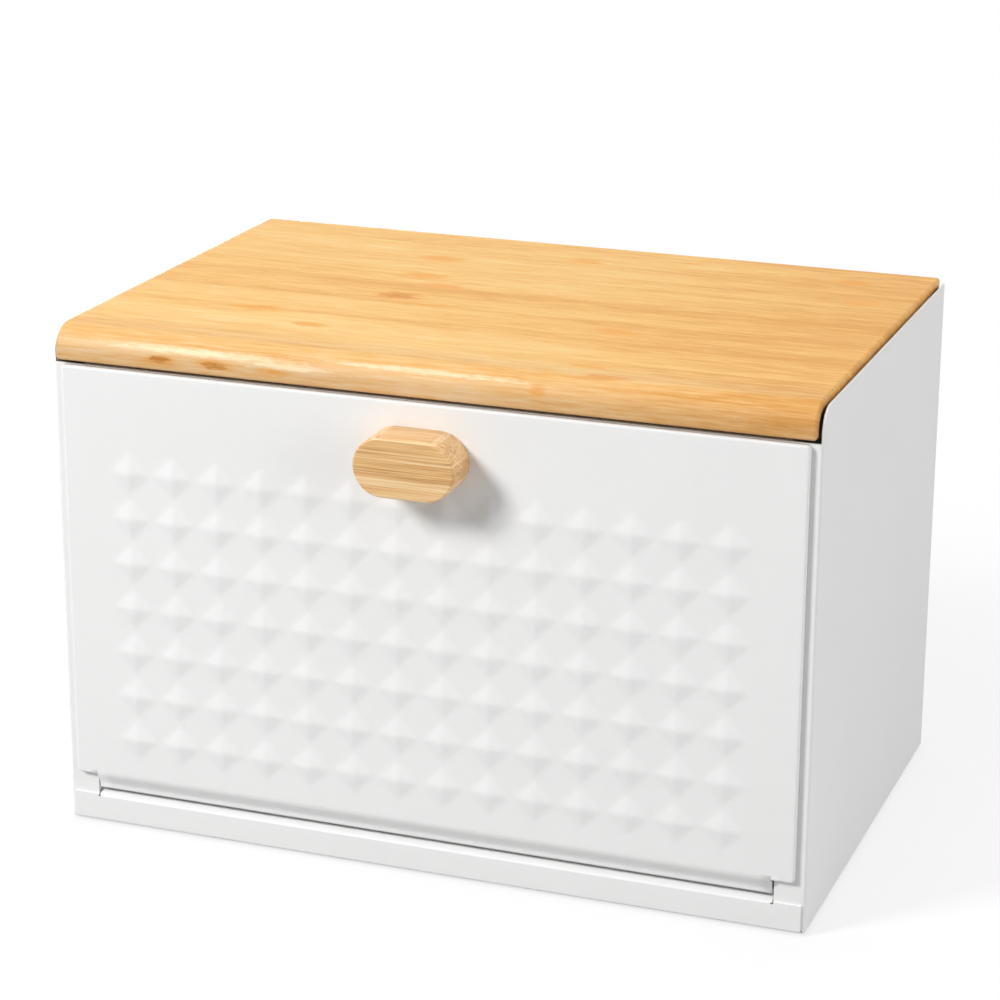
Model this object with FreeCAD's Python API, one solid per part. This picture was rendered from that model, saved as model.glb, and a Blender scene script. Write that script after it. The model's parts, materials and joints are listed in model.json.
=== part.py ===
import FreeCAD, Part

import math
import os

# Bread bin with a fall-front flap: a folded sheet-steel housing, a bent bamboo
# lid between its side walls, and a pressed steel flap that hinges at its foot.
#
# Work coordinates, in millimetres: X across the bin and centred, Y back from the
# front face of the housing, Z up from the lower edge of the housing. Every shape
# is moved by ORIGIN_SHIFT when it is saved, so that the part's origin lies on the
# table, below the centre of the whole.

# Driving dimensions ---------------------------------------------------------
WIDTH = 340.0               # over the side walls
DEPTH = 220.0               # front face to rear face of the housing
WALL_HEIGHT = 226.5         # top edge of the side walls
LID_TOP = 229.0             # top face of the lid
STEEL = 0.8                 # sheet of walls, flap and rail
PAN_STEEL = 0.8             # sheet of the base pan and brackets
PAN_BEND = 0.3              # inner radius of the pan's sharper folds
BEND = 0.5                  # inner radius of a folded edge

FLANGE = 13.6               # stile and ear: front flange of a side wall
REAR_FLANGE = 14.0
CORNER_RADIUS = 10.0        # front top corner of a side wall

RAIL_TOP = 212.5
RAIL_HEIGHT = 16.5
RAIL_DEPTH = 12.0

STRIP_HEIGHT = 12.6         # front strip of the base pan
STRIP_INSET = 1.7           # end of the strip from the housing's outer face
LEDGE_DEPTH = 11.2
LEDGE_HEM = 3.0
LEDGE_RELIEF = 1.2          # bend relief at each end of the ledge
PAN_LIP = 10.0              # upturned rear flange of the pan
STRIP_CORNER = 1.5

LID_THICKNESS = 4.8
LID_INSET = 2.3             # lid end from the housing's outer face
NOSE_RADIUS = 11.0          # outer radius of the lid's nose
NOSE_BOTTOM = 214.2
LID_EDGE = 1.2              # rounded arrises of the lid
LID_CORNER = 2.0

FLAP_WIDTH = 330.9
FLAP_PROUD = 2.8            # outer face ahead of the housing's front face
FLAP_FOOT = 23.0            # lower edge of the flap's shoulders
FLAP_TOP = 212.2
FLAP_SEAT = 0.4             # gap between the flap's flanges and the stiles
FLAP_CORNER = 1.8
FLAP_EDGE = 1.1

TAB_WIDTH = 311.2           # joggled tab between the ears
TAB_FOOT = 15.9
TAB_FACE = 0.2              # outer face of the tab
JOGGLE_ANGLE = 30.0
JOGGLE_RADIUS = 6.0         # mid-sheet radius of both joggle bends
JOGGLE_FOOT = 16.7          # lower end of the joggle

HINGE_Y = 3.3
HINGE_Z = 19.2
PIN_RADIUS = 1.2
PIN_FIT = 0.05              # radial running clearance in the hinge bracket
PIN_HEAD_RADIUS = 2.1       # of the pin's head and of its nylon washer
PIN_HEAD = 1.0
LUG_RADIUS = 3.0
PIN_REACH = 1.0             # pin end beyond the hinge bracket

DIAMOND_COLUMNS = 14
DIAMOND_ROWS = 7
DIAMOND_PITCH = 20.65
DIAMOND_REACH = 9.4         # centre of a diamond to its points
DIAMOND_RISE = 1.25
DIAMOND_MIDDLE = 104.6      # height of the middle row

KNOB_WIDTH = 44.5
KNOB_HEIGHT = 25.7
KNOB_DEPTH = 19.0
KNOB_Z = 188.8
KNOB_EDGE = 0.9
INSERT_RADIUS = 3.0
INSERT_LENGTH = 11.0
SCREW_RADIUS = 2.0
SCREW_LENGTH = 12.0
SCREW_HEAD_RADIUS = 4.0
SCREW_HEAD = 2.2

CUP_X = 112.0               # magnet cups on the front rail
CUP_Z = 202.8
CUP_COLLAR_RADIUS = 5.5
CUP_COLLAR = 1.7
CUP_BARREL_RADIUS = 4.0
CUP_BARREL = 4.0
MAGNET_RADIUS = 3.2
MAGNET_LENGTH = 5.0
MAGNET_SET = 0.2            # magnet's face behind the bush's

BRACKET_LEG = 14.0          # angle brackets under the lid
BRACKET_DROP = 13.0
BRACKET_FRONT = 16.0
BRACKET_BACK = 203.0
LID_SCREW_X = 160.5
LID_SCREW_PLACES = (40.0, 180.0)
LID_SCREW_RADIUS = 1.6
LID_SCREW_BITE = 3.4
LID_SCREW_HEAD_RADIUS = 3.2
LID_SCREW_HEAD = 1.8

SLOT_LENGTH = 24.0          # air slots in the back panel
SLOT_HEIGHT = 3.5
SLOT_COLUMNS = 6
SLOT_PITCH = 36.0
SLOT_PLACES = (170.0, 180.0, 190.0)

FOOT_SIZE = 14.0
FOOT_PROUD = 1.5
FOOT_X = 150.0
FOOT_PLACES = {"front": 20.0, "rear": 200.0}

LOOSE = 0.05                # fit of a screw or pin in its hole
WASHER_PLAY = 0.1           # nylon washer to hinge bracket

# Values that follow ---------------------------------------------------------
SIDE = WIDTH / 2
FLAP_FRONT = -FLAP_PROUD
KNOB_FRONT = FLAP_FRONT - KNOB_DEPTH
LID_FOOT = LID_TOP - LID_THICKNESS
ORIGIN_SHIFT = FreeCAD.Vector(0, -(KNOB_FRONT + DEPTH) / 2, FOOT_PROUD)

X_AXIS = FreeCAD.Vector(1, 0, 0)
Y_AXIS = FreeCAD.Vector(0, 1, 0)
Z_AXIS = FreeCAD.Vector(0, 0, 1)


# Building blocks ------------------------------------------------------------
def block(x, y, z):
    """Box between the (low, high) pairs x, y and z."""
    corner = FreeCAD.Vector(x[0], y[0], z[0])
    return Part.makeBox(x[1] - x[0], y[1] - y[0], z[1] - z[0], corner)


def rod(x, y, z, axis, radius, length):
    """Cylinder that starts at x, y, z and runs along axis."""
    return Part.makeCylinder(radius, length, FreeCAD.Vector(x, y, z), axis)


def bend_points(before, corner, after, radius, offset):
    """Start, middle and end of one bend, on the sheet face at this offset."""
    towards = (corner - before).normalize()
    onward = (after - corner).normalize()
    turn = math.atan2(towards.x * onward.y - towards.y * onward.x, towards.dot(onward))
    setback = radius * math.tan(abs(turn) / 2)
    side = math.copysign(1, turn)
    normal = FreeCAD.Vector(-towards.y, towards.x, 0)
    centre = corner - towards * setback + normal * (radius * side)
    arm = -normal * side * (radius - side * offset)
    points = []
    for share in (0, 0.5, 1):
        rotation = FreeCAD.Rotation(Z_AXIS, math.degrees(turn) * share)
        points.append(centre + rotation.multVec(arm))
    return points


def folded_section(path, thickness, inner_radius):
    """Face of a folded sheet whose middle line runs along a flat path."""
    corners = [FreeCAD.Vector(u, v, 0) for u, v in path]
    radius = inner_radius + thickness / 2
    rims = []
    for offset in (thickness / 2, -thickness / 2):
        ends = []
        for end, other in ((corners[0], corners[1]), (corners[-1], corners[-2])):
            along = (other - end).normalize() * (1 if end is corners[0] else -1)
            ends.append(end + FreeCAD.Vector(-along.y, along.x, 0) * offset)
        edges = []
        last = ends[0]
        for before, corner, after in zip(corners, corners[1:], corners[2:]):
            start, middle, end = bend_points(before, corner, after, radius, offset)
            if last.distanceToPoint(start) > 1e-6:
                edges.append(Part.makeLine(last, start))
            edges.append(Part.Arc(start, middle, end).toShape())
            last = end
        edges.append(Part.makeLine(last, ends[1]))
        rims.append((ends, edges))
    (upper_ends, upper), (lower_ends, lower) = rims
    caps = [Part.makeLine(a, b) for a, b in zip(upper_ends, lower_ends)]
    return Part.Face(Part.Wire(Part.__sortEdges__(upper + lower + caps)))


def folded(path, plane, span, thickness=STEEL, inner_radius=BEND):
    """Folded sheet: its path lies in plane "xy", "xz" or "yz", extruded over span."""
    section = folded_section(path, thickness, inner_radius)
    low, high = span
    if plane == "xy":
        rotation = FreeCAD.Rotation()
        base = Z_AXIS * low
    elif plane == "xz":
        rotation = FreeCAD.Rotation(X_AXIS, 90)
        base = Y_AXIS * high
    else:
        rotation = FreeCAD.Rotation(Y_AXIS, Z_AXIS, X_AXIS, "ZXY")
        base = X_AXIS * low
    section.Placement = FreeCAD.Placement(base, rotation)
    axis = rotation.multVec(Z_AXIS)
    return section.extrude(axis * (high - low))


def chosen(shape, wanted):
    """Edges of a shape that pass a test of their middle point and themselves."""
    return [edge for edge in shape.Edges if wanted(edge.CenterOfMass, edge)]


def round_edges(shape, radius, wanted):
    """Fillet the chosen edges."""
    return shape.makeFillet(radius, chosen(shape, wanted))


def bevel_edges(shape, size, wanted):
    """Chamfer the chosen edges."""
    return shape.makeChamfer(size, chosen(shape, wanted))


def mirrored(shape):
    """The same piece on the other side of the bin."""
    return shape.mirror(FreeCAD.Vector(0, 0, 0), X_AXIS)


def save(name, shape):
    """Write one sub-part in the part's own frame."""
    placed = shape.removeSplitter()
    placed.translate(ORIGIN_SHIFT)
    placed.exportStep(os.path.join("parts", name + ".step"))


def save_pair(name, left):
    """Write a piece and its mirror image."""
    save(name + "_left", left)
    save(name + "_right", mirrored(left))


# Housing --------------------------------------------------------------------
def side_panel():
    """Left side wall, folded inward at the front and the back."""
    middle = STEEL / 2
    path = [
        (-SIDE + FLANGE, middle),
        (-SIDE + middle, middle),
        (-SIDE + middle, DEPTH - middle),
        (-SIDE + REAR_FLANGE, DEPTH - middle),
    ]
    panel = folded(path, "xy", (0, WALL_HEIGHT))
    inside = (-SIDE + STEEL, -SIDE + REAR_FLANGE)
    panel = panel.cut(block(inside, (-1, 5), (RAIL_TOP, WALL_HEIGHT)))
    panel = panel.cut(block(inside, (DEPTH - 5, DEPTH + 1), (LID_FOOT, WALL_HEIGHT)))
    panel = panel.cut(block(inside, (-1, DEPTH + 1), (0, PAN_STEEL + PAN_BEND)))
    corner = block((-SIDE, -SIDE + STEEL), (-1, CORNER_RADIUS),
                   (WALL_HEIGHT - CORNER_RADIUS, WALL_HEIGHT + 1))
    keep = rod(-SIDE, CORNER_RADIUS, WALL_HEIGHT - CORNER_RADIUS, X_AXIS, CORNER_RADIUS, STEEL)
    return panel.cut(corner.cut(keep))


def back_panel():
    """Rear wall welded behind the rear flanges, with air slots and a lid flange."""
    middle = DEPTH - 1.5 * STEEL
    path = [
        (middle, PAN_STEEL),
        (middle, LID_FOOT - STEEL / 2),
        (middle - REAR_FLANGE, LID_FOOT - STEEL / 2),
    ]
    half = SIDE - STEEL - 2 * BEND
    panel = folded(path, "yz", (-half, half))
    notch = BRACKET_LEG + 1
    for side in (-1, 1):
        ends = sorted((side * half, side * (half - notch)))
        front = (middle - REAR_FLANGE, middle - STEEL / 2 - BEND)
        panel = panel.cut(block(ends, front, (LID_FOOT - 2, LID_FOOT + 1)))
    slots = []
    for height in SLOT_PLACES:
        for column in range(SLOT_COLUMNS):
            x = (column - (SLOT_COLUMNS - 1) / 2) * SLOT_PITCH
            slots.append(block((x - SLOT_LENGTH / 2, x + SLOT_LENGTH / 2), (DEPTH - 5, DEPTH),
                               (height - SLOT_HEIGHT / 2, height + SLOT_HEIGHT / 2)))
    return panel.cut(Part.makeCompound(slots))


def base_pan():
    """Folded pan: hemmed ledge, front strip, floor and upturned rear lip."""
    middle = PAN_STEEL / 2
    strip = -middle
    rear = DEPTH - 2 * STEEL - middle
    ledge_half = SIDE - FLANGE - LEDGE_RELIEF
    tray = [
        (strip, STRIP_HEIGHT - middle),
        (strip, middle),
        (rear, middle),
        (rear, PAN_LIP),
    ]
    ledge = [
        (LEDGE_DEPTH - PAN_STEEL - middle, STRIP_HEIGHT - LEDGE_HEM - PAN_STEEL),
        (LEDGE_DEPTH - PAN_STEEL - middle, STRIP_HEIGHT - middle),
        (strip, STRIP_HEIGHT - middle),
        (strip, middle + 2 * PAN_BEND + PAN_STEEL),
    ]
    inner = SIDE - STEEL
    strip_half = SIDE - STRIP_INSET
    front = folded(tray[:3], "yz", (-strip_half, strip_half), PAN_STEEL, PAN_BEND)
    front = front.common(block((-strip_half, strip_half), (-PAN_STEEL, 5), (0, STRIP_HEIGHT)))
    floor = folded(tray[1:], "yz", (-inner, inner), PAN_STEEL, PAN_BEND)
    floor = floor.common(block((-inner, inner), (PAN_BEND, DEPTH), (0, PAN_LIP)))
    shelf = folded(ledge, "yz", (-ledge_half, ledge_half), PAN_STEEL, PAN_BEND)
    top = block((-strip_half, strip_half), (-PAN_STEEL, 0),
                (STRIP_HEIGHT - 2 * PAN_STEEL, STRIP_HEIGHT))
    above_ears = top.cut(block((-ledge_half, ledge_half), (-2, 1), (0, STRIP_HEIGHT + 1)))
    pan = front.cut(top).fuse([floor, shelf, above_ears]).removeSplitter()
    for side in (-1, 1):
        ends = sorted((side * ledge_half, side * (ledge_half + LEDGE_RELIEF)))
        relief = block(ends, (-2, 2), (STRIP_HEIGHT - LEDGE_RELIEF, STRIP_HEIGHT + 1))
        pan = pan.cut(relief)
        foot = block(sorted((side * strip_half, side * (strip_half - STRIP_CORNER))),
                     (-PAN_STEEL, -0.01), (0, STRIP_CORNER))
        keep = rod(side * (strip_half - STRIP_CORNER), -2, STRIP_CORNER, Y_AXIS, STRIP_CORNER, 3)
        pan = pan.cut(foot.cut(keep))
    return pan


def front_rail():
    """Rail across the top of the opening, folded back under the lid's nose."""
    middle = STEEL / 2
    path = [
        (middle, RAIL_TOP - RAIL_HEIGHT),
        (middle, RAIL_TOP - middle),
        (RAIL_DEPTH, RAIL_TOP - middle),
        (RAIL_DEPTH, RAIL_TOP - RAIL_HEIGHT / 2),
    ]
    half = SIDE - FLANGE
    rail = folded(path, "yz", (-half, half))
    for side in (-1, 1):
        hole = rod(side * CUP_X, -1, CUP_Z, Y_AXIS, CUP_BARREL_RADIUS + LOOSE, 3)
        rail = rail.cut(hole)
    return rail


def foot(side, place):
    """Square rubber pad stuck under the floor of the pan."""
    half = FOOT_SIZE / 2
    x = side * FOOT_X
    return block((x - half, x + half), (place - half, place + half), (-FOOT_PROUD, 0))


# Lid ------------------------------------------------------------------------
def lid_board():
    """Bamboo board bent down into a nose, with rounded arrises."""
    middle = LID_THICKNESS / 2
    half = SIDE - LID_INSET
    path = [
        (DEPTH, LID_TOP - middle),
        (FLAP_FRONT + middle, LID_TOP - middle),
        (FLAP_FRONT + middle, NOSE_BOTTOM),
    ]
    board = folded(path, "yz", (-half, half), LID_THICKNESS, NOSE_RADIUS - LID_THICKNESS)
    board = round_edges(board, LID_CORNER, lambda c, e: is_rear_corner(c, e, half))
    centre = FreeCAD.Vector(0, FLAP_FRONT + NOSE_RADIUS, LID_TOP - NOSE_RADIUS)

    def outer_arris(point, edge):
        nose = FreeCAD.Vector(0, point.y - centre.y, point.z - centre.z)
        on_top = point.z > LID_TOP - 0.01
        on_front = point.y < FLAP_FRONT + 0.01
        ends = [vertex.Point for vertex in edge.Vertexes]
        curved = not isinstance(edge.Curve, Part.Line) and nose.y < 0 and nose.z > 0
        on_nose = curved and all(
            abs(math.hypot(p.y - centre.y, p.z - centre.z) - NOSE_RADIUS) < 0.01 for p in ends)
        inside = abs(point.x) < half - 0.01
        seam = inside and isinstance(edge.Curve, Part.Line) and point.y < DEPTH - 1 \
            and point.z > NOSE_BOTTOM + 0.01
        return (on_top or on_front or on_nose) and not seam

    board = round_edges(board, LID_EDGE, outer_arris)
    for x, y in lid_screw_places():
        board = board.cut(rod(x, y, LID_FOOT - 1, Z_AXIS,
                              LID_SCREW_RADIUS + LOOSE, LID_SCREW_BITE + 1 + LOOSE))
    return board


def is_rear_corner(point, edge, half):
    """True for the two upright edges at the back of the lid."""
    upright = abs(edge.Length - LID_THICKNESS) < 0.01
    return upright and point.y > DEPTH - 0.01 and abs(abs(point.x) - half) < 0.01


def lid_screw_places():
    """Screw centres under the lid, left and right."""
    return [(side * LID_SCREW_X, y) for side in (-1, 1) for y in LID_SCREW_PLACES]


def lid_bracket():
    """Angle welded inside the left wall, which carries the lid."""
    middle = PAN_STEEL / 2
    wall = -SIDE + STEEL + middle
    path = [
        (wall, LID_FOOT - BRACKET_DROP),
        (wall, LID_FOOT - middle),
        (wall + BRACKET_LEG, LID_FOOT - middle),
    ]
    bracket = folded(path, "xz", (BRACKET_FRONT, BRACKET_BACK), PAN_STEEL)
    for y in LID_SCREW_PLACES:
        hole = rod(-LID_SCREW_X, y, LID_FOOT - 2, Z_AXIS, LID_SCREW_RADIUS + LOOSE, 3)
        bracket = bracket.cut(hole)
    return bracket


def lid_screws():
    """Pan-head wood screws that hold the lid from below, one node."""
    seat = LID_FOOT - PAN_STEEL
    screws = []
    for x, y in lid_screw_places():
        shank = rod(x, y, seat, Z_AXIS, LID_SCREW_RADIUS, PAN_STEEL + LID_SCREW_BITE)
        head = rod(x, y, seat - LID_SCREW_HEAD, Z_AXIS, LID_SCREW_HEAD_RADIUS, LID_SCREW_HEAD)
        screws.append(shank.fuse(head).removeSplitter())
    return Part.makeCompound(screws)


# Flap -----------------------------------------------------------------------
def flap_tray():
    """Front sheet of the flap with its shallow return flanges."""
    half = FLAP_WIDTH / 2
    tray = block((-half, half), (FLAP_FRONT, -FLAP_SEAT), (FLAP_FOOT, FLAP_TOP))
    depth = FLAP_PROUD - FLAP_SEAT
    tray = round_edges(tray, FLAP_CORNER, lambda c, e: abs(e.Length - depth) < 0.01)
    tray = round_edges(tray, FLAP_EDGE, lambda c, e: c.y < FLAP_FRONT + 0.01)
    hollow = block((STEEL - half, half - STEEL), (FLAP_FRONT + STEEL, 1),
                   (FLAP_FOOT + STEEL, FLAP_TOP - STEEL))
    return tray.cut(round_edges(hollow, FLAP_CORNER - STEEL, lambda c, e: is_along_y(e)))


def is_along_y(edge):
    """True for a straight edge that runs from front to back."""
    start, end = (vertex.Point for vertex in edge.Vertexes)
    return (end - start).cross(Y_AXIS).Length < 0.01


def diamonds(plane):
    """Low four-sided pyramids in rows and columns, standing on a plane of Y."""
    shapes = []
    for row in range(DIAMOND_ROWS):
        for column in range(DIAMOND_COLUMNS):
            x = (column - (DIAMOND_COLUMNS - 1) / 2) * DIAMOND_PITCH
            z = DIAMOND_MIDDLE + (row - (DIAMOND_ROWS - 1) / 2) * DIAMOND_PITCH
            shapes.append(diamond(x, plane, z))
    return shapes


def diamond(x, y, z):
    """One pyramid with a diamond base and its point towards the front."""
    reach = DIAMOND_REACH
    ring = [FreeCAD.Vector(x + dx * reach, y, z + dz * reach)
            for dx, dz in ((1, 0), (0, 1), (-1, 0), (0, -1))]
    tip = FreeCAD.Vector(x, y - DIAMOND_RISE, z)
    faces = [Part.Face(Part.makePolygon(ring + ring[:1]))]
    for start, end in zip(ring, ring[1:] + ring[:1]):
        faces.append(Part.Face(Part.makePolygon([start, end, tip, start])))
    return Part.makeSolid(Part.makeShell(faces))


def joggled_tab():
    """Lower tab: leaves the front sheet and steps back between the ears."""
    front = FLAP_FRONT + STEEL / 2
    back = TAB_FACE + STEEL / 2
    angle = math.radians(JOGGLE_ANGLE)
    setback = JOGGLE_RADIUS * math.tan(angle / 2)
    low = JOGGLE_FOOT + setback
    high = low + (back - front) / math.tan(angle)
    path = [(front, high + setback), (front, high), (back, low), (back, TAB_FOOT)]
    half = TAB_WIDTH / 2
    tab = folded(path, "yz", (-half, half), STEEL, JOGGLE_RADIUS - STEEL / 2)
    return tab, high + setback


def hinge_lug():
    """Plate welded on edge behind the left end of the tab, which holds the pin."""
    x = (-TAB_WIDTH / 2, -TAB_WIDTH / 2 + STEEL)
    web = block(x, (FLAP_FRONT, HINGE_Y), (HINGE_Z - LUG_RADIUS, HINGE_Z + LUG_RADIUS))
    eye = rod(x[0], HINGE_Y, HINGE_Z, X_AXIS, LUG_RADIUS, STEEL)
    lug = web.fuse(eye).common(block(x, (FLAP_FRONT, 9), (TAB_FOOT, FLAP_FOOT)))
    tab, _ = joggled_tab()
    pieces = lug.cut(tab).Solids
    lug = max(pieces, key=lambda piece: piece.CenterOfMass.y)
    hole = rod(x[0] - 1, HINGE_Y, HINGE_Z, X_AXIS, PIN_RADIUS + LOOSE, STEEL + 2)
    return lug.cut(hole)


def flap_panel():
    """Pressed flap: tray, raised diamonds and joggled tab."""
    tab, tab_top = joggled_tab()
    half = TAB_WIDTH / 2
    opening = block((-half, half), (FLAP_FRONT - 1, 1), (FLAP_FOOT - 1, tab_top))
    flange = block((-half, half), (FLAP_FRONT + STEEL, 1), (FLAP_FOOT - 1, tab_top + STEEL))
    panel = flap_tray().cut(opening).cut(flange)
    panel = panel.fuse(diamonds(FLAP_FRONT)).cut(diamonds(FLAP_FRONT + STEEL))
    panel = panel.fuse(tab)
    return panel.cut(rod(0, FLAP_FRONT - 1, KNOB_Z, Y_AXIS, SCREW_RADIUS + LOOSE, 4))


def hinge_pin():
    """Headed pin riveted in the left lug, turning in the hinge bracket."""
    lug_inner = -TAB_WIDTH / 2 + STEEL
    tip = -SIDE + FLANGE - PAN_STEEL - PIN_REACH
    shank = rod(tip, HINGE_Y, HINGE_Z, X_AXIS, PIN_RADIUS, lug_inner - tip)
    head = rod(lug_inner, HINGE_Y, HINGE_Z, X_AXIS, PIN_HEAD_RADIUS, PIN_HEAD)
    return shank.fuse(head).removeSplitter()


def hinge_washer():
    """Nylon washer between the left lug and its bracket."""
    outer = -SIDE + FLANGE + WASHER_PLAY
    inner = -TAB_WIDTH / 2
    ring = rod(outer, HINGE_Y, HINGE_Z, X_AXIS, PIN_HEAD_RADIUS, inner - outer)
    return ring.cut(rod(outer - 1, HINGE_Y, HINGE_Z, X_AXIS, PIN_RADIUS + LOOSE, 8))


def hinge_bracket():
    """Folded bracket welded behind the left ear, with the pin's bearing hole.

    Its plate is flush with the inner edge of the ear."""
    middle = PAN_STEEL / 2
    plate = -SIDE + FLANGE - middle
    path = [
        (-SIDE + 3.0, STEEL + middle),
        (plate, STEEL + middle),
        (plate, HINGE_Y + 5.0),
    ]
    bracket = folded(path, "xy", (STRIP_HEIGHT + 0.6, HINGE_Z + 8.0), PAN_STEEL)
    hole = rod(plate - 2, HINGE_Y, HINGE_Z, X_AXIS, PIN_RADIUS + PIN_FIT, 4)
    bracket = bracket.cut(hole)
    return round_edges(bracket, 2.0, lambda c, e: is_bracket_corner(c, e))


def is_bracket_corner(point, edge):
    """True for the two short edges at the free end of a hinge bracket."""
    return point.y > HINGE_Y + 4.9 and abs(edge.Length - PAN_STEEL) < 0.01


# Knob -----------------------------------------------------------------------
def stadium(width, height, depth, y):
    """Block with half-round ends, standing on a plane of Y."""
    radius = height / 2
    reach = width / 2 - radius
    body = block((-reach, reach), (y, y + depth), (KNOB_Z - radius, KNOB_Z + radius))
    ends = [rod(side * reach, y, KNOB_Z, Y_AXIS, radius, depth) for side in (-1, 1)]
    return body.fuse(ends).removeSplitter()


def knob():
    """Bamboo knob with softened front edge and a bore for its insert."""
    body = stadium(KNOB_WIDTH, KNOB_HEIGHT, KNOB_DEPTH, KNOB_FRONT)
    body = bevel_edges(body, KNOB_EDGE, lambda c, e: c.y < KNOB_FRONT + 0.01)
    bore = rod(0, FLAP_FRONT - INSERT_LENGTH - 2, KNOB_Z, Y_AXIS,
               INSERT_RADIUS, INSERT_LENGTH + 3)
    return body.cut(bore)


def knob_insert():
    """Threaded brass bush pressed into the back of the knob."""
    bush = rod(0, FLAP_FRONT - INSERT_LENGTH, KNOB_Z, Y_AXIS, INSERT_RADIUS, INSERT_LENGTH)
    bore = rod(0, FLAP_FRONT - INSERT_LENGTH - 1, KNOB_Z, Y_AXIS,
               SCREW_RADIUS + LOOSE, INSERT_LENGTH + 2)
    return bush.cut(bore)


def knob_screw():
    """Pan-head machine screw with a cross recess."""
    seat = FLAP_FRONT + STEEL
    shank = rod(0, seat - SCREW_LENGTH, KNOB_Z, Y_AXIS, SCREW_RADIUS, SCREW_LENGTH)
    head = rod(0, seat, KNOB_Z, Y_AXIS, SCREW_HEAD_RADIUS, SCREW_HEAD)
    top = seat + SCREW_HEAD
    head = bevel_edges(head, SCREW_HEAD * 0.4, lambda c, e: c.y > top - 0.01)
    recess = []
    for angle in (0, 90):
        slot = block((-2.0, 2.0), (top - 1.2, top + 1), (-0.5, 0.5))
        slot.rotate(FreeCAD.Vector(0, 0, 0), Y_AXIS, angle)
        slot.translate(Z_AXIS * KNOB_Z)
        recess.append(slot)
    return shank.fuse(head).cut(recess)


# Magnet catch ---------------------------------------------------------------
def magnet_cup():
    """Flanged plastic bush snapped into the left of the front rail."""
    collar = rod(-CUP_X, -CUP_COLLAR, CUP_Z, Y_AXIS, CUP_COLLAR_RADIUS, CUP_COLLAR)
    barrel = rod(-CUP_X, 0, CUP_Z, Y_AXIS, CUP_BARREL_RADIUS, CUP_BARREL)
    bore = rod(-CUP_X, -CUP_COLLAR, CUP_Z, Y_AXIS,
               MAGNET_RADIUS, CUP_COLLAR + CUP_BARREL)
    return collar.fuse(barrel).removeSplitter().cut(bore)


def magnet():
    """Round magnet pressed into the bush, just behind its front face."""
    return rod(-CUP_X, MAGNET_SET - CUP_COLLAR, CUP_Z, Y_AXIS, MAGNET_RADIUS, MAGNET_LENGTH)


def build():
    """Make every sub-part."""
    os.makedirs("parts", exist_ok=True)
    save_pair("side_panel", side_panel())
    save("back_panel", back_panel())
    save("base_pan", base_pan())
    save("front_rail", front_rail())
    for end, place in FOOT_PLACES.items():
        save("foot_" + end + "_left", foot(-1, place))
        save("foot_" + end + "_right", foot(1, place))
    save("lid_board", lid_board())
    save_pair("lid_bracket", lid_bracket())
    save("lid_screws", lid_screws())
    save("flap_panel", flap_panel())
    save_pair("hinge_lug", hinge_lug())
    save_pair("hinge_bracket", hinge_bracket())
    save_pair("hinge_pin", hinge_pin())
    save_pair("hinge_washer", hinge_washer())
    save("knob", knob())
    save("knob_insert", knob_insert())
    save("knob_screw", knob_screw())
    save_pair("magnet_cup", magnet_cup())
    save_pair("magnet", magnet())


build()
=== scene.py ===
import json
import math
from types import SimpleNamespace

import bmesh
import bpy
from mathutils import Matrix, Vector


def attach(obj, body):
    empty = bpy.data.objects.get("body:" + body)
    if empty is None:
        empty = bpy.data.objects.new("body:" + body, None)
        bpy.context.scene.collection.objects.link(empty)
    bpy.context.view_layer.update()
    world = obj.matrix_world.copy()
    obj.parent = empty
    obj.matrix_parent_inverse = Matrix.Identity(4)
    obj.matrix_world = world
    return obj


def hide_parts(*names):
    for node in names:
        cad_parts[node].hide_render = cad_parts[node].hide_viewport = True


# Bread bin: white sheet-steel housing, bamboo lid, and a pressed steel flap with a
# bamboo knob. The housing and the small parts are the CAD nodes with finishes. The
# lid, the flap's sheet and the knob are modelled here and stand for their nodes.
#
# Shapes are in millimetres in the coordinates of the part's source: X across the
# bin and centred, Y back from the housing's front face, Z up from the housing's
# lower edge. Lights, floor and textures are in metres.

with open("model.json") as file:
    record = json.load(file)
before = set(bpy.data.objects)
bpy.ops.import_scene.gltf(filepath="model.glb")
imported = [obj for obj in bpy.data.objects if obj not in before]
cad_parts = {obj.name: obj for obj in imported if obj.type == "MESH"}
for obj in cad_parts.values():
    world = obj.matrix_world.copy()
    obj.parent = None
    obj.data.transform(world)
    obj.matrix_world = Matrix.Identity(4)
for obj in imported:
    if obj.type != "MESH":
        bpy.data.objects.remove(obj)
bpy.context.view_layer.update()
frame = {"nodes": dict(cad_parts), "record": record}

# Driving dimensions ---------------------------------------------------------
MM = 0.001
STEEL = 0.8                 # sheet of the flap
FOOT_PROUD = 1.5            # feet below the housing's lower edge

LID_TOP = 229.0
LID_THICKNESS = 4.8
LID_HALF = 167.7            # half of the lid's width
LID_BACK = 220.0
LID_ARRIS = 1.2             # radius of the lid's rounded edges
LID_CORNER = 2.0            # radius of its rear corners, seen from above
LID_GUARD = 0.3             # narrow flat band beside an arris, which keeps the faces flat
NOSE_FRONT = -2.8
NOSE_RADIUS = 11.0
NOSE_BOTTOM = 214.2

FLAP_FRONT = -2.8
FLAP_BACK = -0.4
FLAP_HALF = 165.45
FLAP_FOOT = 23.0            # lower edge of the flap's shoulders
FLAP_TOP = 212.2
FLAP_CORNER = 1.8
FLAP_EDGE = 1.1             # radius of the bend into the return flanges
FLAP_GUARD = 0.1            # narrow flat band beside that bend
SHOULDER_ROW = 2.5          # first grid row above the shoulders' lower edge

TAB_HALF = 155.6            # joggled tab between the ears
TAB_FOOT = 15.9
TAB_FACE = 0.2
JOGGLE_ANGLE = 30.0
JOGGLE_RADIUS = 6.0         # mid-sheet radius of both bends
JOGGLE_FOOT = 16.7

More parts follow.
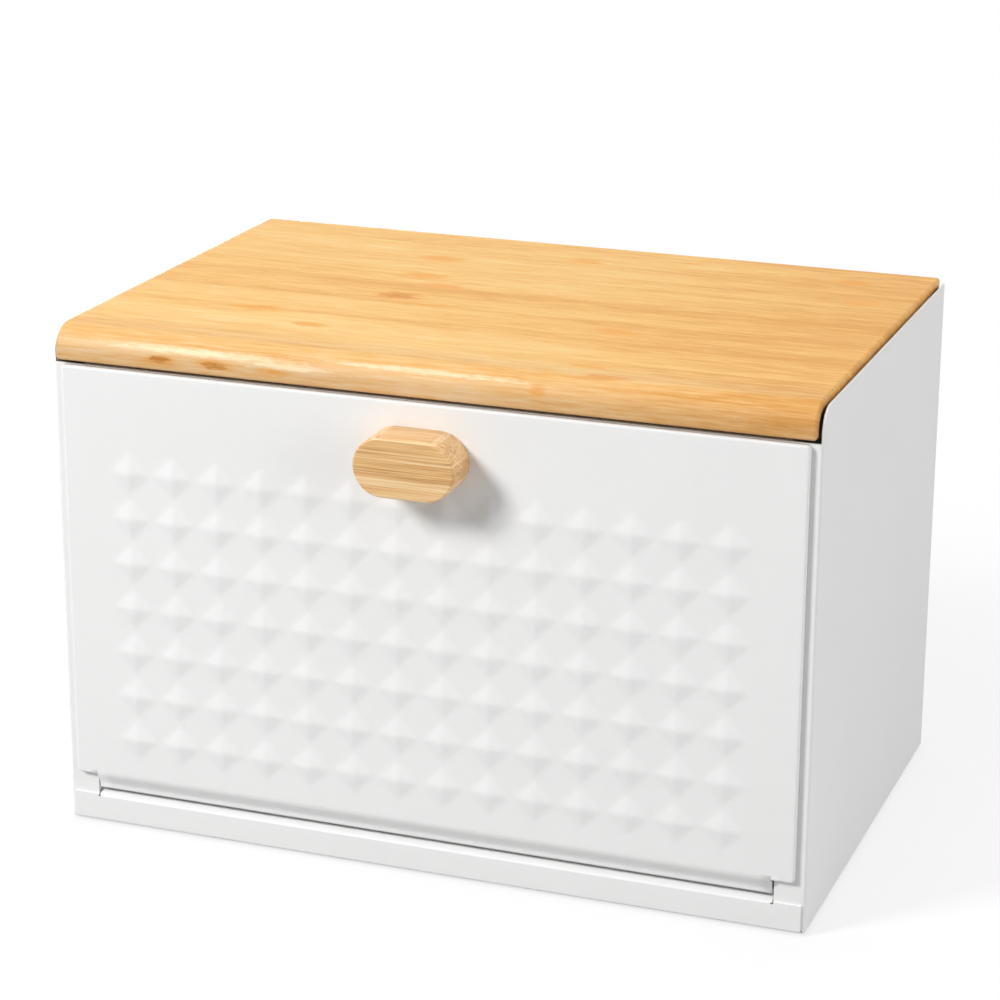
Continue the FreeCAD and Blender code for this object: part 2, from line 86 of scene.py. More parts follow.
COLUMNS = 14                # diamonds pressed in the flap
ROWS = 7
PITCH = 20.65
REACH = 9.2                 # centre of a diamond to its points
RISE = 1.25
FIELD_Z = 104.6             # height of the middle row
TIP = 0.5                   # rounding of a diamond's ridges
VALLEY = 0.07               # rounding where a diamond leaves the sheet, as a part of RISE
FAR_OFF = 11.5              # distance along X and along Z at which the sheet is flat

SILL_HALF = 155.9           # raised fold of the ledge
SILL_BACK = 10.9
SILL_BOTTOM = 12.3
SILL_CREST = (2.95, 14.5)   # (y, z) of the fold's front top
SILL_CREST_RADIUS = 0.6
SILL_FOOT = (0.3, 11.5)     # centre of the bend below the slope
SILL_FOOT_RADIUS = 1.08
SILL_SLOPE = 125            # direction that the slope faces

KNOB_HALF = 22.25
KNOB_RADIUS = 12.85
KNOB_DEPTH = 19.0
KNOB_Z = 188.8
KNOB_EDGE = 0.9
KNOB_GUARD = 0.4
KNOB_BACK_EDGE = 0.3

# Fineness of the meshes -----------------------------------------------------
CELL_STEPS = 18             # grid lines over one diamond's pitch
CORNER_TURN = 15            # degrees between the sections round a corner
NOSE_STEPS = 18
ARRIS_STEPS = 5
BEND_STEPS = 6
KNOB_TURN = 5
WELD = 1e-7                 # points nearer than this, in metres, become one

# Camera, light and floor ----------------------------------------------------
CAMERA_TURN = (20.15, 18.15, 0.28)      # azimuth, elevation and roll in degrees
CAMERA_AIM = (0, 110, 110)              # place that the camera's spot is counted from
CAMERA_SPOT = (-5.3, 24.7, 1372)        # camera from there: right, up and back
FOCAL_PIXELS = 3017
PICTURE_PIXELS = 1000
SENSOR = 36

LAMP_AIM = (0, 60, 110)
LAMPS = (                               # name, direction, distance, size and power
    ("key", (-0.90, -1.0, 0.92), 3.0, 0.75, 71),
    ("fill", (1.0, -0.2, 0.2), 3.0, 2.0, 42),
    ("top", (0.0, 0.15, 1.0), 3.0, 1.0, 21),
    ("rear", (-0.5, 1.0, -0.02), 1.8, 0.36, 9),
)
SURROUND = 0.30                         # brightness of the even surround light

FLOOR_HALF = 6.0
FLOOR_LIFT = 0.75                       # how far the seen floor is white near the bin
FLOOR_WHITE = (0.2, 0.6)                # distances between which it turns all white
FLOOR_BOUNCE = (0.36, 0.36, 0.36)       # what the floor throws back onto the bin

# Values that follow ---------------------------------------------------------
SHIFT_Y = -(LID_BACK + FLAP_FRONT - KNOB_DEPTH) / 2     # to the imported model's origin
SHIFT_Z = FOOT_PROUD
LID_FLAT = LID_BACK - NOSE_FRONT - NOSE_RADIUS          # along the lid's outer face
LID_BEND = NOSE_RADIUS * math.pi / 2
LID_LENGTH = LID_FLAT + LID_BEND + LID_TOP - NOSE_RADIUS - NOSE_BOTTOM


def place(x, y, z):
    """A point given in millimetres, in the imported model's metres."""
    return Vector((x * MM, (y + SHIFT_Y) * MM, (z + SHIFT_Z) * MM))


# Shader helpers -------------------------------------------------------------
def add(tree, kind, inputs=None, **settings):
    """Adds a shader node; an input is a value or another node's output."""
    node = tree.nodes.new(kind)
    for name, value in settings.items():
        setattr(node, name, value)
    for name, value in (inputs or {}).items():
        fill(tree, node.inputs[name], value)
    return node


def fill(tree, socket, value):
    """Links an output to a socket, or sets the socket's own value."""
    if isinstance(value, bpy.types.NodeSocket):
        tree.links.new(value, socket)
    else:
        socket.default_value = value


def math_node(tree, operation, *values, clamp=False):
    """Result of one sum, product or other operation."""
    node = add(tree, "ShaderNodeMath", operation=operation, use_clamp=clamp)
    for socket, value in zip(node.inputs, values):
        fill(tree, socket, value)
    return node.outputs[0]


def plus(tree, first, second):
    return math_node(tree, "ADD", first, second)


def minus(tree, first, second):
    return math_node(tree, "SUBTRACT", first, second)


def times(tree, first, second):
    return math_node(tree, "MULTIPLY", first, second)


def ramp(tree, value, stops):
    """Colour ramp through (position, colour) stops."""
    node = add(tree, "ShaderNodeValToRGB", {"Fac": value})
    elements = node.color_ramp.elements
    while len(elements) < len(stops):
        elements.new(0.5)
    for element, (position, colour) in zip(elements, stops):
        element.position = position
        element.color = (*colour, 1.0)
    return node.outputs["Color"]


def spread(tree, value, low, high):
    """Maps 0..1 to low..high."""
    return add(tree, "ShaderNodeMapRange",
               {"Value": value, "To Min": low, "To Max": high}).outputs["Result"]


def mixed(tree, factor, first, second, blend="MIX"):
    """Two colours mixed."""
    node = add(tree, "ShaderNodeMix", data_type="RGBA", blend_type=blend)
    for index, value in ((0, factor), (6, first), (7, second)):
        fill(tree, node.inputs[index], value)
    return node.outputs[2]


def noise(tree, coordinates, scale=1.0, detail=2.0, roughness=0.5, stretch=None):
    """Noise value; stretch scales the three axes."""
    if stretch:
        coordinates = add(tree, "ShaderNodeMapping",
                          {"Vector": coordinates, "Scale": stretch}).outputs["Vector"]
    return add(tree, "ShaderNodeTexNoise", {
        "Vector": coordinates, "Scale": scale, "Detail": detail,
        "Roughness": roughness}).outputs["Fac"]


def material(name):
    """New node material: (material, tree, principled shader, object coordinates)."""
    made = bpy.data.materials.new(name)
    made.use_nodes = True
    tree = made.node_tree
    shader = tree.nodes["Principled BSDF"]
    coordinates = add(tree, "ShaderNodeTexCoord").outputs["Object"]
    return made, tree, shader, coordinates


def bumped(tree, shader, height, distance):
    """Bump of that height, whose full reach is a distance in millimetres."""
    bump = add(tree, "ShaderNodeBump", {
        "Height": height, "Distance": distance * MM, "Strength": 1.0})
    tree.links.new(bump.outputs["Normal"], shader.inputs["Normal"])


# Materials ------------------------------------------------------------------
def powder_coat():
    """White powder coat with a fine orange peel."""
    made, tree, shader, where = material("white_powder_coat")
    cloud = noise(tree, where, scale=22.0, detail=3.0)
    grain = noise(tree, where, scale=1500.0, roughness=0.6)
    swell = noise(tree, where, scale=520.0)
    colour = ramp(tree, cloud, [(0.3, (0.885, 0.885, 0.88)), (0.7, (0.897, 0.897, 0.892))])
    tree.links.new(colour, shader.inputs["Base Color"])
    tree.links.new(spread(tree, grain, 0.42, 0.6), shader.inputs["Roughness"])
    shader.inputs["IOR"].default_value = 1.45
    bumped(tree, shader, plus(tree, grain, times(tree, swell, 1.4)), 0.03)
    return made


def metal(name, colour, rough, stretch, distance):
    """Bare or plated metal with fine marks in one direction."""
    made, tree, shader, where = material(name)
    marks = noise(tree, where, detail=3.0, roughness=0.6, stretch=stretch)
    tree.links.new(ramp(tree, marks, [(0.3, darker(colour, 0.86)), (0.7, colour)]),
                   shader.inputs["Base Color"])
    shader.inputs["Metallic"].default_value = 1.0
    tree.links.new(spread(tree, marks, *rough), shader.inputs["Roughness"])
    bumped(tree, shader, marks, distance)
    return made


def moulded(name, colour, rough, grain, distance):
    """Plastic or rubber with a fine moulded texture."""
    made, tree, shader, where = material(name)
    cloud = noise(tree, where, scale=120.0, detail=3.0)
    fine = noise(tree, where, scale=grain, roughness=0.6)
    tree.links.new(ramp(tree, cloud, [(0.3, darker(colour, 0.88)), (0.7, colour)]),
                   shader.inputs["Base Color"])
    tree.links.new(spread(tree, fine, *rough), shader.inputs["Roughness"])
    bumped(tree, shader, fine, distance)
    return made


def darker(colour, share):
    """That share of a colour."""
    return tuple(part * share for part in colour)


# Bamboo ---------------------------------------------------------------------
def bamboo_strips(name, across, strip, glue_line, fibres, streaks, contrast):
    """Material of glued bamboo strips with fibres along X, and the parts to finish it.

    across gives the distance across the strips; strip is the width of one and
    glue_line the place of a joint, both in metres. fibres and streaks hold their
    changes in a metre, along and across. contrast is how strongly the fibres, the
    streaks, a slow drift, each strip's own tone and the glue lines show.
    """
    made, tree, shader, where = material(name)
    parts = add(tree, "ShaderNodeSeparateXYZ", {"Vector": where}).outputs
    v = across(tree, parts)
    counted = math_node(tree, "DIVIDE", minus(tree, v, glue_line), strip)
    position = plus(tree, counted, 20.0)        # keeps the strips' numbers positive
    number = math_node(tree, "FLOOR", position)
    tone = add(tree, "ShaderNodeTexWhiteNoise", {"W": number},
               noise_dimensions="1D").outputs["Value"]
    depth = plus(tree, parts["Y"], times(tree, number, 3.7))    # no strip like the next
    flat = add(tree, "ShaderNodeCombineXYZ",
               {"X": parts["X"], "Y": v, "Z": depth}).outputs["Vector"]
    fine = noise(tree, flat, detail=3.0, roughness=0.65, stretch=lengthwise(fibres))
    broad = noise(tree, flat, detail=3.0, roughness=0.6, stretch=lengthwise(streaks))
    drift = noise(tree, flat, stretch=(6.0, 60.0, 12.0))
    value = 0.0
    for part, amount in zip((fine, broad, drift, tone), contrast):
        value = plus(tree, value, times(tree, minus(tree, part, 0.5), amount))
    half_off = math_node(tree, "FRACT", plus(tree, position, 0.5))
    from_joint = math_node(tree, "ABSOLUTE", minus(tree, half_off, 0.5))
    joint = math_node(tree, "LESS_THAN", from_joint, 0.0004 / strip)
    value = minus(tree, value, times(tree, joint, times(tree, drift, contrast[4])))
    tree.links.new(spread(tree, broad, 0.36, 0.5), shader.inputs["Roughness"])
    bumped(tree, shader, fine, 0.03)
    return SimpleNamespace(made=made, tree=tree, shader=shader, where=where, x=parts["X"],
                           v=v, flat=flat, fine=fine, value=value)


def lengthwise(changes):
    """Stretch of a noise whose changes in a metre are given along and across."""
    along, across = changes
    return along, across, across * 0.3


def shade_bands(wood, bands):
    """Run of shade across the strips, through (place, shade) stops, swaying a little."""
    tree = wood.tree
    first, last = bands[0][0], bands[-1][0]
    wave = noise(tree, wood.where, stretch=(9.0, 4.0, 4.0))
    sway = times(tree, minus(tree, wave, 0.5), 0.012)
    run = add(tree, "ShaderNodeMapRange", {
        "Value": plus(tree, wood.v, sway), "From Min": first, "From Max": last})
    stops = [((spot - first) / (last - first), (shade,) * 3) for spot, shade in bands]
    return minus(tree, ramp(tree, run.outputs["Result"], stops), 0.5)


def knots_and_painted_sheen(wood, colour, marks):
    """Lays ragged spots over a colour: a knot each, and on the lid three of painted sheen;
    (centre, size, shade) marks, in metres.
    """
    tree = wood.tree
    crumbs = noise(tree, wood.flat, detail=3.0, roughness=0.7, stretch=(150.0, 500.0, 60.0))
    rag = plus(tree, times(tree, minus(tree, wood.fine, 0.45), 2.2),
               times(tree, minus(tree, crumbs, 0.45), 2.0))
    for (x, v), (length, width), shade in marks:
        dx = math_node(tree, "DIVIDE", minus(tree, wood.x, x), length)
        dv = math_node(tree, "DIVIDE", minus(tree, wood.v, v), width)
        away = plus(tree, plus(tree, times(tree, dx, dx), times(tree, dv, dv)), rag)
        spot = math_node(tree, "MULTIPLY", minus(tree, 1.0, away), 1.25, clamp=True)
        colour = mixed(tree, spot, colour, (*shade, 1.0))
    return colour


def lid_across(tree, parts):
    """Distance across the lid's strips: runs back on top and down the nose."""
    return plus(tree, parts["Y"], parts["Z"])


def lid_place(y, z=LID_TOP):
    """The distance that lid_across gives at a place in millimetres."""
    return (y + SHIFT_Y + z + SHIFT_Z) * MM


def lid_spot(x, y, z, size, shade):
    """Mark on the lid at a place in millimetres, with its half size along and across."""
    return (x * MM, lid_place(y, z)), (size[0] * MM, size[1] * MM), shade


def lid_marks():
    """Knots on the lid's top and nose, and a painted sheen along the nose."""
    orange, warm, dark = (0.84, 0.38, 0.055), (0.82, 0.35, 0.03), (0.66, 0.25, 0.01)
    # pale is a painted sheen: lighter, bluer streaks on the nose that stand for its highlight.
    tan, brown, pale = (0.74, 0.35, 0.09), (0.50, 0.20, 0.035), (0.89, 0.70, 0.43)
    top = [
        (-50.0, 99.7, (16, 9), warm), (-50.0, 99.7, (12, 8), dark),
        (-50.0, 99.7, (8, 6), dark), (-97.0, 58.0, (16, 7), warm),
        (-67.0, 38.8, (11, 6), orange), (-57.5, 171.5, (15, 8), orange),
        (-54.0, 137.3, (14, 8), orange), (-38.7, 121.6, (15, 7), orange),
        (7.5, 190.6, (11, 7), orange), (62.0, 75.0, (13, 7), orange),
        (66.3, 19.4, (13, 4), orange), (75.8, 7.0, (16, 4), tan),
        (132.0, 196.2, (13, 7), warm), (146.5, 160.9, (13, 7), orange),
        (-30.0, 89.0, (22, 2.4), warm),
    ]
    nose = [
        # The three pale marks are painted sheen along the nose; the tan and brown marks are each
        # a knot.
        (-103.0, 225.0, (52, 3.2), pale), (-60.0, 222.0, (28, 2.4), pale),
        (2.0, 228.0, (62, 2.4), pale), (-118.6, 219.1, (10, 3.0), tan),
        (-118.6, 219.3, (6, 2.2), brown), (-92.0, 219.1, (13, 3.0), tan),
        (-92.0, 218.8, (8, 2.0), brown), (-65.8, 218.3, (12, 2.6), tan),
        (51.4, 223.5, (5, 7), tan),
    ]
    return ([lid_spot(x, y, LID_TOP, size, shade) for x, y, size, shade in top]
            + [lid_spot(x, NOSE_FRONT, z, size, shade) for x, z, size, shade in nose])


def bamboo_lid():
    """Wide strips in soft bands of shade, darker to the right, with painted shade and painted
    sheen on the nose.
    """
    wood = bamboo_strips("bamboo_lid", lid_across, strip=0.0305, glue_line=0.1894,
                         fibres=(50.0, 620.0), streaks=(13.0, 190.0),
                         contrast=(1.2, 0.65, 0.6, 0.10, 0.20))
    tree = wood.tree
    # The stops at -17, -3 and 8 lie on the nose's front and curve and darken it towards its
    # lower edge: painted shade of the downward curve, partly the nose's own tone; the other
    # stops are the strips' own tones.
    bands = [(-17, 0.36), (-3, 0.44), (8, 0.46), (27, 0.52), (50, 0.50), (57, 0.22), (64, 0.50),
             (84, 0.50), (89, 0.26), (95, 0.36), (108, 0.38), (118, 0.22), (126, 0.42),
             (148, 0.44), (152, 0.56), (165, 0.46), (200, 0.45), (220, 0.34)]
    value = plus(tree, wood.value, shade_bands(wood, [(lid_place(y), s) for y, s in bands]))
    right = add(tree, "ShaderNodeMapRange", {
        "Value": wood.x, "From Min": 0.0, "From Max": 0.17, "To Max": 0.26},
        interpolation_type="SMOOTHSTEP").outputs["Result"]
    value = minus(tree, value, right)
    colour = ramp(tree, math_node(tree, "ADD", value, 0.5, clamp=True), [
        (0.0, (0.73, 0.335, 0.054)), (0.35, (0.865, 0.485, 0.128)),
        (0.55, (0.893, 0.557, 0.177)), (0.75, (0.903, 0.614, 0.241)),
        (1.0, (0.912, 0.70, 0.378))])
    # The nose tint below dulls red and green and lifts blue, from the nose's lower edge up to
    # the top of its curve: a paler tan, partly painted sheen and painted shade.
    nose = add(tree, "ShaderNodeMapRange", {
        "Value": wood.v, "From Min": lid_place(NOSE_FRONT, 218.0), "From Max": lid_place(26.0),
        "To Min": 1.0, "To Max": 0.0}).outputs["Result"]
    colour = mixed(tree, nose, colour, (0.84, 0.88, 1.4, 1.0), "MULTIPLY")
    tree.links.new(knots_and_painted_sheen(wood, colour, lid_marks()), wood.shader.inputs["Base Color"])
    wood.shader.inputs["Specular IOR Level"].default_value = 0.25
    return wood.made


def bamboo_knob():
    """Narrow strips with clear fibres and light joints, stacked in height."""
    wood = bamboo_strips("bamboo_knob", lambda tree, parts: parts["Z"], strip=0.0085,
                         glue_line=0.1855, fibres=(26.0, 1900.0), streaks=(8.0, 520.0),
                         contrast=(2.0, 0.9, 0.3, 0.35, -0.5))
    value = math_node(wood.tree, "ADD", wood.value, 0.5, clamp=True)
    colour = ramp(wood.tree, value, [
        (0.0, (0.52, 0.27, 0.095)), (0.35, (0.76, 0.44, 0.175)), (0.6, (0.85, 0.55, 0.26)),
        (1.0, (0.92, 0.70, 0.42))])
    wood.tree.links.new(colour, wood.shader.inputs["Base Color"])
    return wood.made


# Mesh helpers ---------------------------------------------------------------
def piece(name, points, faces, finish, body, slot, *nodes):
    """Mesh object from millimetre points, riding on a body in place of CAD nodes."""
    mesh = bpy.data.meshes.new(name)
    mesh.from_pydata([place(*point) for point in points], [], faces)
    work = bmesh.new()
    work.from_mesh(mesh)
    bmesh.ops.remove_doubles(work, verts=work.verts, dist=WELD)
    bmesh.ops.recalc_face_normals(work, faces=work.faces)
    work.to_mesh(mesh)
    work.free()
    mesh.shade_smooth()
    thing = bpy.data.objects.new(name, mesh)
    bpy.context.scene.collection.objects.link(thing)
    mesh.materials.append(finish)
    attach(thing, body)
    if nodes:
        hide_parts(*nodes)
    return thing


def arc(centre, radius, start, end, steps):
    """Points of an arc from one angle to another, in degrees."""
    points = []
    for step in range(steps + 1):
        angle = math.radians(start + (end - start) * step / steps)
        points.append((centre[0] + radius * math.cos(angle),
                       centre[1] + radius * math.sin(angle)))
    return points


def steps_between(low, high, count):
    """Evenly spaced values from low to high."""
    return [low + (high - low) * step / count for step in range(count + 1)]


# Lid ------------------------------------------------------------------------
def bent(x, along, depth):
    """Point of the lid at a distance along its outer face from the rear, and a depth."""
    centre = (NOSE_FRONT + NOSE_RADIUS, LID_TOP - NOSE_RADIUS)
    angle = (along - LID_FLAT) / NOSE_RADIUS
    if angle <= 0:
        return (x, LID_BACK - along, LID_TOP - depth)
    if angle <= math.pi / 2:
        radius = NOSE_RADIUS - depth
        return (x, centre[0] - radius * math.sin(angle), centre[1] + radius * math.cos(angle))
    return (x, NOSE_FRONT + depth, centre[1] - (along - LID_FLAT - LID_BEND))


def lid_border():
    """Right border of the lid's flat faces: (x, distance along, outward angle)."""
    inset = LID_ARRIS + LID_GUARD
    rear = []
    for turn in range(-90, 1, CORNER_TURN):
        angle = math.radians(turn)
        rear.append((LID_HALF - LID_CORNER + (LID_CORNER - inset) * math.cos(angle),
                     LID_CORNER + (LID_CORNER - inset) * math.sin(angle), turn))
    before_bend = LID_FLAT - 1.0
    bend = [before_bend] + steps_between(LID_FLAT, LID_FLAT + LID_BEND, NOSE_STEPS)
    side = [(LID_HALF - inset, along, 0) for along in bend]
    foot = [(LID_HALF - inset, LID_LENGTH - inset, turn) for turn in range(0, 91, CORNER_TURN)]
    return rear + side + foot


def lid(finish):
    """Bamboo board bent down into a nose, with rounded arrises."""
    right = lid_border()
    walk = right + [(-x, along, 180 - turn) for x, along, turn in reversed(right)]
    upper = arc((LID_GUARD, LID_ARRIS), LID_ARRIS, -90, 0, ARRIS_STEPS)
    lower = arc((LID_GUARD, LID_THICKNESS - LID_ARRIS), LID_ARRIS, 0, 90, ARRIS_STEPS)
    profile = [(0.0, 0.0)] + upper + lower + [(0.0, LID_THICKNESS)]
    points = []
    for x, along, turn in walk:
        over, on = math.cos(math.radians(turn)), math.sin(math.radians(turn))
        points += [bent(x + out * over, along + out * on, depth) for out, depth in profile]
    size = len(profile)
    faces = []
    for a in range(len(walk)):
        b = (a + 1) % len(walk)
        for k in range(size - 1):
            faces.append((a * size + k, b * size + k, b * size + k + 1, a * size + k + 1))
    for a in range(len(right) - 1):
        opposite = len(walk) - 1 - a
        for k in (0, size - 1):
            faces.append((a * size + k, (a + 1) * size + k,
                          (opposite - 1) * size + k, opposite * size + k))
    return piece("bamboo_lid_board", points, faces, finish, "housing", "bamboo_lid", "lid_board")


# Flap -----------------------------------------------------------------------
def soft_corner(value, softness):
    """The larger of value and 0, with a rounded corner."""
    return (value + math.sqrt(value * value + softness * softness)) / 2


def emboss(x, z):
    """Height of the pressed pyramids at a point of the front sheet."""
    middle_column, middle_row = (COLUMNS - 1) / 2, (ROWS - 1) / 2
    column = min(max(round(x / PITCH + middle_column), 0), COLUMNS - 1)
    row = min(max(round((z - FIELD_Z) / PITCH + middle_row), 0), ROWS - 1)
    dx = x - (column - middle_column) * PITCH
    dz = z - FIELD_Z - (row - middle_row) * PITCH
    away = math.hypot(dx, TIP) + math.hypot(dz, TIP) - TIP
    flat = soft_corner(1 - 2 * FAR_OFF / REACH, VALLEY)
    return RISE * max(soft_corner(1 - away / REACH, VALLEY) - flat, 0.0)


def flap_grid():
    """Grid lines of the front sheet, across and up: fine over the diamonds only."""
    reach = COLUMNS * PITCH / 2
    side = [reach + 5, TAB_HALF, TAB_HALF + 4, FLAP_HALF - FLAP_CORNER]
    xs = [-x for x in reversed(side)]
    xs += steps_between(-reach, reach, COLUMNS * CELL_STEPS) + side
    low, high = FIELD_Z - ROWS * PITCH / 2, FIELD_Z + ROWS * PITCH / 2
    zs = [FLAP_FOOT + SHOULDER_ROW, low - 3]
    zs += steps_between(low, high, ROWS * CELL_STEPS) + [high + 5, 195.0, FLAP_TOP - FLAP_CORNER]
    return xs, zs


def flap_border(xs, zs):
    """Grid points round the border, from tab end to tab end: (column, row, direction)."""
    right, top = len(xs) - 1, len(zs) - 1
    quarter = range(0, 91, CORNER_TURN)
    walk = [(i, 0, 270) for i in range(xs.index(-TAB_HALF), 0, -1)]
    walk += [(0, 0, 270 - turn) for turn in quarter]
    walk += [(0, j, 180) for j in range(1, top)]
    walk += [(0, top, 180 - turn) for turn in quarter]
    walk += [(i, top, 90) for i in range(1, right)]
    walk += [(right, top, 90 - turn) for turn in quarter]
    walk += [(right, j, 0) for j in range(top - 1, 0, -1)]
    walk += [(right, 0, -turn) for turn in quarter]
    walk += [(i, 0, 270) for i in range(right - 1, xs.index(TAB_HALF) - 1, -1)]
    return walk


def flap_flange(x, z, direction):
    """Section from a border point round the bend to the rear edge of the flange."""
    bend = arc((FLAP_FRONT + FLAP_EDGE, FLAP_EDGE), FLAP_EDGE, 180, 270, BEND_STEPS)
    profile = [(FLAP_FRONT, FLAP_CORNER - FLAP_GUARD)] + bend + [(FLAP_BACK, 0.0)]
    over, up = math.cos(math.radians(direction)), math.sin(math.radians(direction))
    return [(x + over * (FLAP_CORNER - inset), y, z + up * (FLAP_CORNER - inset))
            for y, inset in profile]


def tab_profile():
    """Outer face of the joggled tab, from the front sheet down: (y, z) points."""
    front, back = FLAP_FRONT + STEEL / 2, TAB_FACE + STEEL / 2
    setback = JOGGLE_RADIUS * math.tan(math.radians(JOGGLE_ANGLE / 2))
    top = JOGGLE_FOOT + 2 * setback + (back - front) / math.tan(math.radians(JOGGLE_ANGLE))
    first = arc((front + JOGGLE_RADIUS, top), JOGGLE_RADIUS + STEEL / 2,
                180, 180 + JOGGLE_ANGLE, BEND_STEPS)
    second = arc((back - JOGGLE_RADIUS, JOGGLE_FOOT), JOGGLE_RADIUS - STEEL / 2,
                 JOGGLE_ANGLE, 0, BEND_STEPS)
    return first + second + [(TAB_FACE, TAB_FOOT)]


def add_skirt(points, faces, sections):
    """Faces between sections that each start at a point of the front sheet."""
    rows = []
    for start, path in sections:
        rows.append([start] + list(range(len(points), len(points) + len(path))))
        points.extend(path)
    for a, b in zip(rows, rows[1:]):
        for k in range(len(a) - 1):
            corners = (a[k], b[k], b[k + 1], a[k + 1])
            faces.append(tuple(dict.fromkeys(corners)))


def flap(finish):
    """Outer skin of the flap: embossed front sheet, return flanges and joggled tab."""
    xs, zs = flap_grid()
    points = [(x, FLAP_FRONT - emboss(x, z), z) for x in xs for z in zs]
    faces = []
    for i in range(len(xs) - 1):
        for j in range(len(zs) - 1):
            a, b = i * len(zs) + j, (i + 1) * len(zs) + j
            faces.append((a, b, b + 1, a + 1))
    sections = []
    for i, j, direction in flap_border(xs, zs):
        z = zs[j] if j else FLAP_FOOT + FLAP_CORNER
        sections.append((i * len(zs) + j, flap_flange(xs[i], z, direction)))
    add_skirt(points, faces, sections)
    tab = tab_profile()
    tab_columns = range(xs.index(-TAB_HALF), xs.index(TAB_HALF) + 1)
    add_skirt(points, faces, [(i * len(zs), [(xs[i], y, z) for y, z in tab])
                              for i in tab_columns])
    return piece("flap_sheet", points, faces, finish, "flap", "white_powder_coat", "flap_panel")


def thicken(sheet):
    """Gives the flap's skin its sheet thickness, towards the inside."""
    mesh = sheet.data
    middle = min(mesh.polygons, key=lambda face: (face.center - place(0, -3, 200)).length)
    if middle.normal.y > 0:
        mesh.flip_normals()
    solid = sheet.modifiers.new("sheet", "SOLIDIFY")
    solid.thickness = STEEL * MM
    solid.offset = -1.0
    solid.use_even_offset = True


# Sill -----------------------------------------------------------------------
def sill(finish):
    """Raised fold of the ledge, sloping up from the base strip to below the tab."""
    crest_y, crest_z = SILL_CREST
    slope = arc(SILL_FOOT, SILL_FOOT_RADIUS, 140, SILL_SLOPE, 3)
    crest = arc((crest_y, crest_z - SILL_CREST_RADIUS), SILL_CREST_RADIUS, SILL_SLOPE, 90, 4)
    profile = slope + crest + [(SILL_BACK, crest_z), (SILL_BACK, SILL_BOTTOM)]
    points = [(x, y, z) for x in (-SILL_HALF, SILL_HALF) for y, z in profile]
    count = len(profile)
    faces = [tuple(range(count)), tuple(range(count, 2 * count))]
    for k in range(count):
        after = (k + 1) % count
        faces.append((k, after, after + count, k + count))
    fold = piece("ledge_sill", points, faces, finish, "housing", "white_powder_coat")
    fold.data.set_sharp_from_angle(angle=math.radians(40))


# Knob -----------------------------------------------------------------------
def knob(finish):
    """Stadium block with softened edges."""
    reach = KNOB_HALF - KNOB_RADIUS
    front, back = FLAP_FRONT - KNOB_DEPTH, FLAP_FRONT
    outline = [(reach, turn) for turn in range(-90, 91, KNOB_TURN)]
    outline += [(-reach, turn) for turn in range(90, 271, KNOB_TURN)]
    edge = arc((front + KNOB_EDGE, KNOB_EDGE), KNOB_EDGE, 180, 270, ARRIS_STEPS)
    profile = [(front, KNOB_EDGE + KNOB_GUARD)] + edge
    profile += [(back - KNOB_BACK_EDGE, 0.0), (back, KNOB_BACK_EDGE)]
    points, faces = [], []
    for y, inset in profile:
        for x, turn in outline:
            angle = math.radians(turn)
            radius = KNOB_RADIUS - inset
            points.append((x + radius * math.cos(angle), y, KNOB_Z + radius * math.sin(angle)))
    count = len(outline)
    for ring in range(len(profile) - 1):
        for k in range(count):
            a, b = ring * count + k, ring * count + (k + 1) % count
            faces.append((a, b, b + count, a + count))
    faces.append(tuple(range(count)))
    faces.append(tuple(range((len(profile) - 1) * count, len(profile) * count)))
    piece("bamboo_knob_block", points, faces, finish, "flap", "bamboo_knob", "knob")


# Scene ----------------------------------------------------------------------
def camera():
    """Camera fitted to the photograph's view of the bin."""
    azimuth, elevation, roll = (math.radians(angle) for angle in CAMERA_TURN)
    back = Vector((math.sin(azimuth) * math.cos(elevation),
                   -math.cos(azimuth) * math.cos(elevation), math.sin(elevation)))
    level = Vector((math.cos(azimuth), math.sin(azimuth), 0))
    up = back.cross(level)
    across = math.cos(roll) * level + math.sin(roll) * up
    above = -math.sin(roll) * level + math.cos(roll) * up
    right_by, up_by, back_by = CAMERA_SPOT
    spot = place(*CAMERA_AIM) + (right_by * across + up_by * above + back_by * back) * MM
    data = bpy.data.cameras.new("camera")
    data.sensor_width = SENSOR
    data.lens = FOCAL_PIXELS * SENSOR / PICTURE_PIXELS
    eye = bpy.data.objects.new("camera", data)
    rows = [[across[i], above[i], back[i], spot[i]] for i in range(3)]
    eye.matrix_world = Matrix(rows + [[0, 0, 0, 1]])
    bpy.context.scene.collection.objects.link(eye)
    bpy.context.scene.camera = eye


def seen_directly(tree):
    """1 for what the camera sees, straight or through a reflection or glass."""
    path = add(tree, "ShaderNodeLightPath").outputs
    return math_node(tree, "MAXIMUM", path["Is Camera Ray"], math_node(
        tree, "MAXIMUM", path["Is Glossy Ray"], path["Is Transmission Ray"]))


